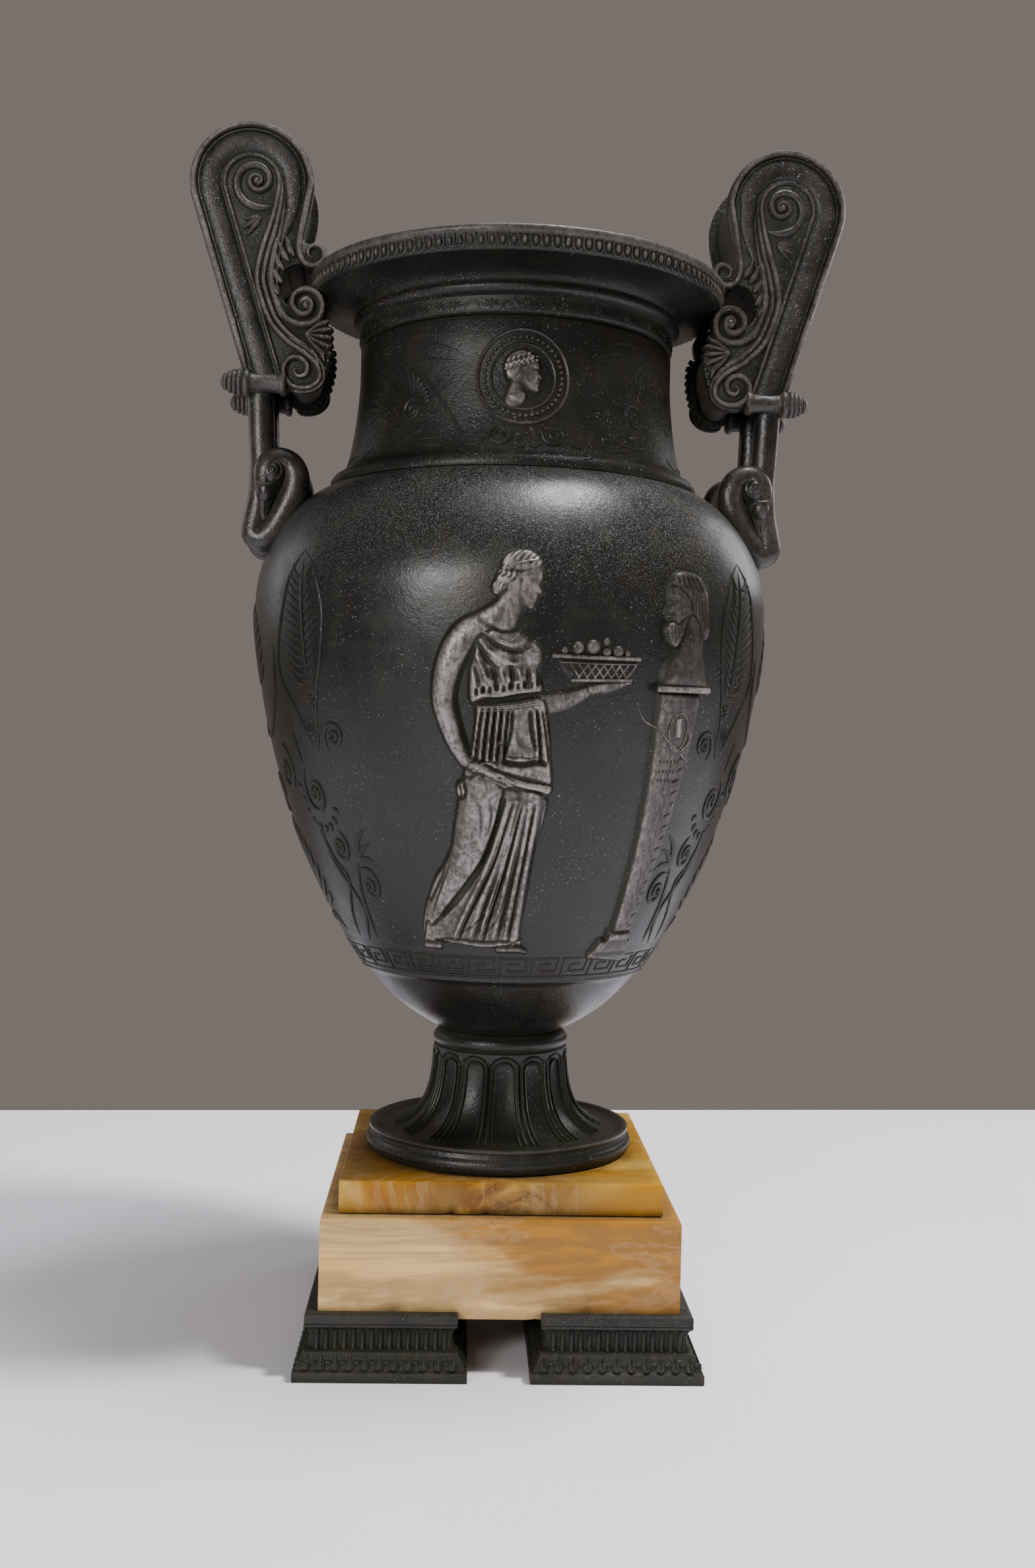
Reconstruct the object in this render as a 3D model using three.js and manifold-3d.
// Volute krater on a plinth: a cast-bronze collector's reduction of an ancient vessel.
// Millimetres, +Z up. The origin is on the ground, under the middle of the plinth and of the vase.
// Every casting and stone is one closed solid. Touching pieces keep a gap of GAP.
import * as THREE from 'three';
import { mergeVertices } from 'three/addons/utils/BufferGeometryUtils.js';
import Module from 'manifold-3d';

const wasm = await Module();
wasm.setup();

// ---- driving dimensions -------------------------------------------------------------------------
const GAP = 0.3;                 // air left between two pieces that touch
const WALL = 3;                  // thickness of the cast vessel walls
const VASE_TURN = 2.5;           // degrees the vase is turned on its plinth
const ROUND = 28;                // sides of the turned pieces

const FOOT = { centre: 38.4, flange: 24.8, cove: 22.4, fillet: 25.2, base: 28.2, top: 20.9 };
const BLOCK = { half: 59.15, bottom: 18.2, height: 32.6, chamfer: 0.8 };
const SLAB = { half: 53.55, height: 10.6, chamfer: 0.5 };
const slabBottom = BLOCK.bottom + BLOCK.height + GAP;
const plinthTop = slabBottom + SLAB.height;

const PEDESTAL = {
  base: plinthTop + GAP, top: 104.7, lip: 46.6, roll: 47.7, lipHeight: 8.5, dishDrop: 1.2,
  stemFoot: 39, stem: 23.8, leafTop: 98.6, collar: 24.2, waist: 21.4, leaves: 14, fluteDepth: 1.3,
};
const BELLY = {
  bottom: PEDESTAL.top + GAP, seat: 21.5, radius: 91, widest: 254, top: 295.5,
  bowlRadius: 48.4, bowlTop: 126.4, ledgeRadius: 50.2, ledge: 127.6,
};
const RING = { radius: 65.5, bottom: BELLY.top + GAP, top: 301, shelf: 61.4 };
const NECK = { radius: 55.6, waist: 336, top: 345.8 };
const BAND = { groove: 53, radius: 56.2, bottom: 347.4, top: 352.7, bead: 58.6, beadTop: 357.2 };
const RIM = { radius: 74.5, top: 369.9, fillet: 367.6, drop: 362.2, under: 72.4, inner: 70.5 };

const CHEEK = { face: 18.4, ground: 16.9, back: 14.4, strapInset: 2.2 };
const LOOP = { u: 93.9, z: 398.4, r: 21.6 };
const LEG = { lean: THREE.MathUtils.degToRad(17.5), bottom: 331.6 };
const TIP_SCROLL = { u: 71.9, z: 374.7, r: 4.1 };
const BAY = { top: 371.6, deep: 84.2, bottom: 357.4 };
const BIG_SCROLL = { u: 74.1, z: 356.2, r: 6.5 };
const FAN = { u: 65.3, high: 347, low: 340 };
const LOW_SCROLL = { u: 75.2, z: 335.2, r: 8.1 };
const EYE = { u: 92.9, z: 398.3, field: 9.8, disc: 7.8, button: 2.6 };
const BAR = { z: 329.8, y: 16.3, r: 3.3, inner: 80.8, ring: 94.8, tip: 103.4 };
const SWAN_SIDES = 6;
const SWAN_STEPS = 19;
const CURVE_STEPS = 4;            // straight steps in each curve of the handles' outline

// The raised figures: each lump is [degrees round from the front, height, half-width, half-height, lift].
const LUMP_PROUD = 0.6;           // how far a lump's middle stands off the belly's surface
const MAIDEN = [
  [-2, 257.5, 9, 9.5, 2.6], [-8, 236, 11.5, 17, 2.6], [-15, 228, 5.5, 18, 2.4],
  [-6, 203, 13.5, 28, 2.5], [-8, 168, 14, 30, 2.2], [-12, 150, 14, 12, 2],
];
const BASKET = [[10, 222.5, 15, 4, 2.4], [13.5, 231, 16, 7.5, 2.5]];
const HERM = [
  [32.5, 256.5, 8.5, 11, 2.4], [33.2, 238, 8, 12, 2.2], [33.6, 205, 9.3, 24, 1.9],
  [34.6, 165, 8, 28, 1.8], [36.5, 139.5, 9.6, 6.5, 1.9],
];

// ---- small helpers ------------------------------------------------------------------------------
const point = (x, y) => new THREE.Vector2(x, y);

// Turns a closed three.js geometry into a solid, with every face pointing out.
function asSolid(geometry) {
  const bare = geometry.clone();
  bare.deleteAttribute('normal');
  bare.deleteAttribute('uv');
  const merged = mergeVertices(bare, 1e-4);
  const place = merged.getAttribute('position');
  const corners = [];
  for (let i = 0; i < merged.index.count; i += 3) {
    const [a, b, c] = [0, 1, 2].map((k) => merged.index.getX(i + k));
    if (a !== b && b !== c && c !== a) corners.push([a, b, c]);
  }
  const at = (i) => new THREE.Vector3().fromBufferAttribute(place, i);
  const volume = corners.reduce((sum, [a, b, c]) => sum + at(a).dot(at(b).cross(at(c))), 0);
  const facing = volume > 0 ? corners : corners.map(([a, b, c]) => [a, c, b]);
  return new wasm.Manifold(new wasm.Mesh({
    numProp: 3,
    vertProperties: new Float32Array(place.array),
    triVerts: new Uint32Array(facing.flat()),
  }));
}

function asGeometry(solid) {
  const mesh = solid.getMesh();
  const geometry = new THREE.BufferGeometry();
  geometry.setAttribute('position', new THREE.BufferAttribute(new Float32Array(mesh.vertProperties), 3));
  geometry.setIndex(new THREE.BufferAttribute(new Uint32Array(mesh.triVerts), 1));
  geometry.computeVertexNormals();
  return geometry;
}

const join = (solids) => solids.reduce((all, next) => all.add(next));

// Points along a cubic curve given by its two ends and two handles, without its first point.
function curve(start, startHandle, endHandle, end, steps) {
  return new THREE.CubicBezierCurve(start, startHandle, endHandle, end).getPoints(steps).slice(1);
}

// A profile of (radius, height) points turned round the Z axis.
function turned(profile, sides = ROUND) {
  return new THREE.LatheGeometry(profile, sides).rotateX(Math.PI / 2);
}

// A flat outline in the (X, Z) plane, given thickness from y = back to y = front.
function slab(shape, front, back) {
  const settings = { depth: front - back, bevelEnabled: false, curveSegments: CURVE_STEPS };
  return new THREE.ExtrudeGeometry(shape, settings).rotateX(Math.PI / 2).translate(0, front, 0);
}

// A square stone with a small chamfer along every edge.
function stone({ half, height, chamfer }) {
  const inner = half - chamfer;
  const shape = new THREE.Shape([
    point(-inner, -inner), point(inner, -inner), point(inner, inner), point(-inner, inner),
  ]);
  return new THREE.ExtrudeGeometry(shape, {
    depth: height - 2 * chamfer, bevelThickness: chamfer, bevelSize: chamfer, bevelSegments: 1,
  }).translate(0, 0, chamfer);
}

// ---- the vessel ---------------------------------------------------------------------------------
// The outline from the seat up to the shoulder, moved inwards by `inset` for the inner wall.
function bellyCurve(inset, [bowlSteps, sideSteps, shoulderSteps]) {
  const seat = point(BELLY.seat, BELLY.bottom + inset);
  const bowlTop = point(BELLY.bowlRadius - inset, BELLY.bowlTop + inset / 2);
  const ledge = point(BELLY.ledgeRadius - inset, BELLY.ledge + inset / 2);
  const widest = point(BELLY.radius - inset, BELLY.widest);
  const high = point(RING.radius, BELLY.top - inset);
  return [
    seat,
    ...curve(
      seat, point(32.6 - inset / 2, 109.6 + inset), point(41.7 - inset, 117.4 + inset), bowlTop, bowlSteps,
    ),
    ledge,
    ...curve(ledge, point(69 - inset, 154 + inset / 2), point(widest.x, 207.9), widest, sideSteps),
    ...curve(widest, point(widest.x, 274), point(77 - inset / 3, 292 - inset), high, shoulderSteps),
  ];
}

const OUTSIDE_STEPS = [2, 6, 4];
const INSIDE_STEPS = [1, 3, 3];

function bellyProfile() {
  const mouth = NECK.radius + 3;
  const outside = bellyCurve(0, OUTSIDE_STEPS);
  const inside = bellyCurve(WALL, INSIDE_STEPS).reverse();
  return [
    point(0, BELLY.bottom), ...outside, point(mouth, BELLY.top),
    point(mouth, BELLY.top - WALL), ...inside, point(0, BELLY.bottom + WALL),
  ];
}

// Radius and slope of the belly's outside at one height.
function bellyAt(height) {
  const outline = bellyCurve(0, OUTSIDE_STEPS);
  const above = outline.findIndex((p) => p.y > height);
  const [low, high] = [outline[above - 1], outline[above]];
  const share = (height - low.y) / (high.y - low.y);
  return { radius: low.x + share * (high.x - low.x), slope: Math.atan2(high.x - low.x, high.y - low.y) };
}

// One rounded lump of a raised figure, sunk in the belly's wall but not through it.
function lump([degrees, height, halfWidth, halfHeight, lift]) {
  const { radius, slope } = bellyAt(height);
  const geometry = new THREE.SphereGeometry(1, 7, 4).rotateX(Math.PI / 2);
  geometry.scale(halfWidth, lift, halfHeight).rotateX(slope).translate(0, -radius - LUMP_PROUD, height);
  return asSolid(geometry.rotateZ(THREE.MathUtils.degToRad(degrees)));
}

// The belly with its raised figures. The back carries the standing figure alone.
function bellyGeometry() {
  const front = [...MAIDEN, ...BASKET, ...HERM].map(lump);
  const back = MAIDEN.map(([degrees, ...rest]) => lump([degrees + 180, ...rest]));
  return asGeometry(join([asSolid(turned(bellyProfile())), ...front, ...back]));
}

function neckOutside() {
  const shelf = point(RING.shelf, RING.top);
  const throat = point(NECK.radius, NECK.waist);
  const flareStart = point(BAND.bead - 1.4, BAND.beadTop);
  const flareEnd = point(RIM.under, RIM.drop);
  return [
    point(RING.radius, RING.bottom),
    point(RING.radius - 0.3, RING.bottom + 2.6),
    shelf,
    ...curve(shelf, point(58.7, 302.9), point(NECK.radius, 325.7), throat, 4),
    point(NECK.radius, NECK.top),
    point(BAND.groove, NECK.top + 0.4),
    point(BAND.groove, BAND.bottom - 0.2),
    point(BAND.radius - 0.3, BAND.bottom),
    point(BAND.radius - 0.8, BAND.top),
    point(BAND.bead - 1, BAND.top + 1),
    point(BAND.bead, BAND.beadTop - 1.8),
    flareStart,
    ...curve(flareStart, point(60, 361), point(66, 361.6), flareEnd, 3),
    point(RIM.under + 1.2, RIM.drop + 1.6),
    point(RIM.radius - 0.4, RIM.fillet),
    point(RIM.radius, RIM.fillet + 0.4),
    point(RIM.radius, RIM.top),
  ];
}

function neckInside() {
  const mouth = point(RIM.inner, RIM.top);
  const throat = point(NECK.radius - WALL, NECK.top + 2);
  const low = point(NECK.radius + 2.5, RING.bottom + 4);
  return [
    mouth,
    ...curve(mouth, point(66, 363.5), point(throat.x + 2, 361), throat, 2),
    point(throat.x, 322),
    point(low.x - 4, 308),
    low,
    point(low.x, RING.bottom),
  ];
}

function neckProfile() {
  const loop = [...neckOutside(), ...neckInside()];
  return [...loop, loop[0].clone()];
}

// ---- the pedestal -------------------------------------------------------------------------------
function pedestalProfile() {
  const lipTop = PEDESTAL.base + PEDESTAL.lipHeight;
  const dish = lipTop - PEDESTAL.dishDrop;
  const stemFoot = point(PEDESTAL.stemFoot, dish);
  const stemTop = point(PEDESTAL.stem, PEDESTAL.leafTop - 3);
  return [
    point(0, PEDESTAL.top),
    point(PEDESTAL.waist, PEDESTAL.top),
    point(PEDESTAL.collar - 0.7, PEDESTAL.top - 2),
    point(PEDESTAL.collar, PEDESTAL.leafTop + 1.6),
    point(PEDESTAL.collar - 1.1, PEDESTAL.leafTop + 0.4),
    point(PEDESTAL.stem + 0.3, PEDESTAL.leafTop),
    stemTop,
    ...curve(stemTop, point(PEDESTAL.stem, 76), point(31, 71.5), stemFoot, 5),
    point(PEDESTAL.lip - 3, dish),
    point(PEDESTAL.lip - 1.2, lipTop),
    point(PEDESTAL.lip, lipTop),
    point(PEDESTAL.lip, lipTop - 1.9),
    point(PEDESTAL.roll, PEDESTAL.base + 4),
    point(PEDESTAL.roll - 0.4, PEDESTAL.base + 1.6),
    point(PEDESTAL.lip + 0.2, PEDESTAL.base),
    point(PEDESTAL.lip - 3.5, PEDESTAL.base),
    point(PEDESTAL.lip - 4.5, PEDESTAL.base + 3.6),
    point(28, PEDESTAL.base + 6.5),
    point(PEDESTAL.stem - 4.6, PEDESTAL.base + 20),
    point(PEDESTAL.stem - 5, PEDESTAL.top - 5),
    point(0, PEDESTAL.top - 4),
  ];
}

// Hollows the stem between its leaves' ribs, from just under the leaf tips down to the dish.
function pedestalGeometry() {
  const geometry = turned(pedestalProfile(), PEDESTAL.leaves * 2);
  const place = geometry.getAttribute('position');
  for (let i = 0; i < place.count; i += 1) {
    const [x, y, z] = [place.getX(i), place.getY(i), place.getZ(i)];
    const radius = Math.hypot(x, y);
    const onStem = z < PEDESTAL.leafTop - 1 && z > PEDESTAL.base + 8 && radius < PEDESTAL.stemFoot - 1;
    if (!onStem || radius < PEDESTAL.stem - 1) continue;
    const flute = 0.5 - 0.5 * Math.cos(PEDESTAL.leaves * Math.atan2(y, x));
    const scale = (radius - PEDESTAL.fluteDepth * flute) / radius;
    place.setXY(i, x * scale, y * scale);
  }
  return geometry;
}

// ---- the handles, drawn as u (outwards from the axis) and z --------------------------------------
// The outline of one scrolled cheek, shrunk all round by `inset` for the strap between the cheeks.
function cheekOutline(inset = 0) {
  const shape = new THREE.Shape();
  const lean = LEG.lean;
  const loopRadius = LOOP.r - inset;
  const start = point(LOOP.u + loopRadius * Math.cos(lean), LOOP.z - loopRadius * Math.sin(lean));
  const legRun = (start.y - LEG.bottom) * Math.tan(lean);
  shape.moveTo(start.x - legRun, LEG.bottom + inset);
  shape.lineTo(start.x, start.y);
  shape.absarc(LOOP.u, LOOP.z, loopRadius, -lean, Math.PI, false);
  const inner = LOOP.u - loopRadius;
  shape.bezierCurveTo(inner, LOOP.z - 8, 75.9 + inset, 385, 75.7 + inset, 378.6);
  shape.absarc(TIP_SCROLL.u + inset, TIP_SCROLL.z, TIP_SCROLL.r - inset / 2, 1.1, 5.6, false);
  shape.bezierCurveTo(77 + inset, BAY.top, 79 + inset, BAY.top + inset, 81.5, BAY.top - 2);
  shape.bezierCurveTo(BAY.deep + inset, 366, BAY.deep + inset, 360, 81.2, BAY.bottom);
  shape.absarc(BIG_SCROLL.u + inset, BIG_SCROLL.z, BIG_SCROLL.r - inset / 2, 0.3, 4.1, false);
  const fan = FAN.u + inset;
  shape.bezierCurveTo(fan + 0.4, 350, fan, FAN.high + 1, fan, (FAN.high + FAN.low) / 2);
  shape.bezierCurveTo(fan, FAN.low, fan + 0.8, 338, LOW_SCROLL.u - LOW_SCROLL.r + inset, LOW_SCROLL.z);
  shape.absarc(LOW_SCROLL.u, LOW_SCROLL.z, LOW_SCROLL.r - inset, Math.PI, 5.9, false);
  shape.closePath();
  return shape;
}

// The drop-shaped sunk field inside the loop, narrowing to the crossing of leg and S-scroll.
function dropField() {
  const field = new THREE.Shape();
  field.moveTo(EYE.u + EYE.field, EYE.z);
  field.absarc(EYE.u, EYE.z, EYE.field, 0, Math.PI, false);
  field.bezierCurveTo(83.1, 391, 85.4, 387, 87.2, 383);
  field.bezierCurveTo(90, 377, 91.6, 371, 92.4, 358.5);
  field.lineTo(98.9, 380.4);
  field.bezierCurveTo(101.4, 388.5, 102.7, 392, EYE.u + EYE.field, EYE.z);
  return field;
}

// The three-cornered sunk field above the low scroll.
function lowField() {
  return new THREE.Shape([
    point(87.2, 349.5), point(81, 344.8), point(77.4, 341.6), point(80.6, 337.2), point(85, 337.2),
  ]);
}

// One scrolled cheek, sunk between its bands, with the volute's disc and button in the round field.
function cheek(side) {
  const plate = asSolid(slab(cheekOutline(), CHEEK.face, CHEEK.back - 0.4));
  const sink = (field) => asSolid(slab(field, CHEEK.face + 1, CHEEK.ground));
  const disc = (radius, front) => asSolid(
    new THREE.CylinderGeometry(radius, radius, front - CHEEK.back, 10)
      .translate(EYE.u, (front + CHEEK.back) / 2, EYE.z),
  );
  const sunk = plate.subtract(sink(dropField())).subtract(sink(lowField()));
  const outer = join([sunk, disc(EYE.disc, CHEEK.face - 0.3), disc(EYE.button, CHEEK.face)]);
  return side > 0 ? outer : asSolid(asGeometry(outer).scale(1, -1, 1));
}

// The turned cross-bar under one cheek, with a ring at each end and a pointed finial outside.
function crossBar(side) {
  const profile = [
    point(0, BAR.inner), point(3.9, BAR.inner), point(3.9, BAR.inner + 2.2), point(BAR.r, BAR.inner + 2.8),
    point(BAR.r, BAR.ring - 1.6), point(4.7, BAR.ring - 1), point(4.7, BAR.ring + 0.8),
    point(3.9, BAR.ring + 1.2), point(4, BAR.ring + 3.4), point(2.4, BAR.ring + 6.4), point(0, BAR.tip),
  ];
  const bar = new THREE.LatheGeometry(profile, 8).rotateZ(-Math.PI / 2);
  return asSolid(bar.translate(0, side * BAR.y, BAR.z));
}

// A round bar of changing thickness along a smooth path of [u, y, z, radius] stations.
function swept(stations, steps, sides) {
  const path = new THREE.CatmullRomCurve3(stations.map(([u, y, z]) => new THREE.Vector3(u, y, z)));
  const girth = new THREE.CatmullRomCurve3(stations.map(([, , , r]) => new THREE.Vector3(r, 0, 0)));
  const places = [];
  const faces = [];
  const across = new THREE.Vector3(0, 1, 0);
  for (let i = 0; i <= steps; i += 1) {
    const centre = path.getPoint(i / steps);
    const normal = new THREE.Vector3().crossVectors(path.getTangent(i / steps), across).normalize();
    const radius = girth.getPoint(i / steps).x;
    for (let k = 0; k < sides; k += 1) {
      const angle = (2 * Math.PI * k) / sides;
      const spoke = normal.clone().multiplyScalar(radius * Math.cos(angle));
      spoke.addScaledVector(across, radius * Math.sin(angle)).add(centre);
      places.push(spoke.x, spoke.y, spoke.z);
      if (i === 0) continue;
      const [a, b] = [i * sides + k, i * sides + ((k + 1) % sides)];
      faces.push(a - sides, a, b, a - sides, b, b - sides);
    }
  }
  const last = steps * sides;
  for (let k = 1; k < sides - 1; k += 1) faces.push(0, k, k + 1, last, last + k + 1, last + k);
  const geometry = new THREE.BufferGeometry();
  geometry.setAttribute('position', new THREE.Float32BufferAttribute(places, 3));
  geometry.setIndex(faces);
  return asSolid(geometry);
}

// One stem that runs down from the cross-bar, turns up along the shoulder and ends as a swan's
// neck, with its head bowed back down beside the stem.
function swan(side) {
  const stations = [
    [90.1, 11.6, 336, 4.7], [89.6, 11.6, 320, 4.6], [88.6, 11.6, 304, 4.4], [89.4, 11.6, 291, 4.2],
    [91.1, 11.8, 282, 4.2], [90.8, 12.2, 277.2, 4.6], [87, 12.7, 277.4, 4.8], [82.6, 13.2, 283, 4.8],
    [78.8, 13.8, 290, 4.8], [76.8, 14.2, 296.6, 4.7], [78.3, 14.5, 301.8, 4.5], [83, 14.7, 303.6, 4.2],
    [86.9, 14.9, 301.4, 4.7], [88.6, 15, 296.8, 4.2], [90.2, 14.8, 291, 2.7], [91.8, 14.5, 285.6, 1.9],
    [93, 14.2, 281.4, 1.1],
  ].map(([u, y, z, r]) => [u, side * y, z, r]);
  return swept(stations, SWAN_STEPS, SWAN_SIDES);
}

// The room that the belly and the neck need, with a gap round it, as a cutter.
function vesselClearance() {
  const outline = [...bellyCurve(0, OUTSIDE_STEPS), ...neckOutside()].map((p) => point(p.x + GAP, p.y));
  const kept = outline.filter((p) => p.y < RIM.drop - 1);
  const rimUnder = point(RIM.under + GAP, RIM.drop - GAP);
  const rimTop = point(RIM.radius + GAP, RIM.top + GAP);
  const profile = [point(0, BELLY.bottom), ...kept, rimUnder, rimTop, point(0, RIM.top + GAP)];
  return asSolid(turned(profile));
}

function handleGeometry() {
  const strap = asSolid(slab(cheekOutline(CHEEK.strapInset), CHEEK.back, -CHEEK.back));
  const sides = [-1, 1].flatMap((side) => [cheek(side), crossBar(side), swan(side)]);
  return asGeometry(join([strap, ...sides]).subtract(vesselClearance()));
}

// ---- the plinth's feet --------------------------------------------------------------------------
// A square block whose four sides carry one moulding, given as [half-width, height] steps.
function mouldedBlock(steps) {
  const profile = steps.map(([half, height]) => point(half * Math.SQRT2, height));
  const ends = [point(0, steps[0][1]), ...profile, point(0, steps.at(-1)[1])];
  return new THREE.LatheGeometry(ends, 4, Math.PI / 4).rotateX(Math.PI / 2);
}

function cornerFoot(signX, signY) {
  const moulding = [
    [FOOT.base, 0], [FOOT.base, 3.4], [FOOT.base - 0.9, 4], [FOOT.fillet + 0.4, 8], [FOOT.fillet, 8.9],
    [FOOT.cove + 0.9, 9.4], [FOOT.cove, 12], [FOOT.cove + 0.6, 15], [FOOT.flange - 0.6, 16.9],
    [FOOT.flange, 17.5], [FOOT.flange, FOOT.top],
  ];
  const block = asSolid(mouldedBlock(moulding).translate(signX * FOOT.centre, signY * FOOT.centre, 0));
  const seatHalf = BLOCK.half + GAP;
  const seat = new THREE.BoxGeometry(2 * seatHalf, 2 * seatHalf, BLOCK.height)
    .translate(0, 0, BLOCK.bottom - GAP + BLOCK.height / 2);
  return asGeometry(block.subtract(asSolid(seat)));
}

// ---- materials and assembly ---------------------------------------------------------------------
const bronze = () => new THREE.MeshStandardMaterial({ color: 0x23241f, roughness: 0.42, metalness: 0.75 });
const marble = (color) => new THREE.MeshStandardMaterial({ color, roughness: 0.35, metalness: 0 });

function named(name, geometry, material) {
  const mesh = new THREE.Mesh(geometry, material);
  mesh.name = name;
  return mesh;
}

const vase = new THREE.Group();
vase.rotation.z = THREE.MathUtils.degToRad(VASE_TURN);
vase.add(named('belly', bellyGeometry(), bronze()));
vase.add(named('neck', asGeometry(asSolid(turned(neckProfile()))), bronze()));
vase.add(named('pedestal', asGeometry(asSolid(pedestalGeometry())), bronze()));
const handleShape = handleGeometry();
const handleRight = named('handle_right', handleShape, bronze());
const handleLeft = named('handle_left', handleShape.clone(), bronze());
handleLeft.rotation.z = Math.PI;
vase.add(handleRight, handleLeft);

const plinth = new THREE.Group();
const block = named('marble_block', asGeometry(asSolid(stone(BLOCK))), marble(0xd9b077));
block.position.z = BLOCK.bottom;
const slabStone = named('marble_slab', asGeometry(asSolid(stone(SLAB))), marble(0xc58a35));
slabStone.position.z = slabBottom;
plinth.add(block, slabStone);
for (const [depth, signY] of [['front', -1], ['back', 1]]) {
  for (const [hand, signX] of [['left', -1], ['right', 1]]) {
    plinth.add(named(`foot_${depth}_${hand}`, cornerFoot(signX, signY), bronze()));
  }
}

const krater = new THREE.Group();
krater.add(vase, plinth);
export default krater;
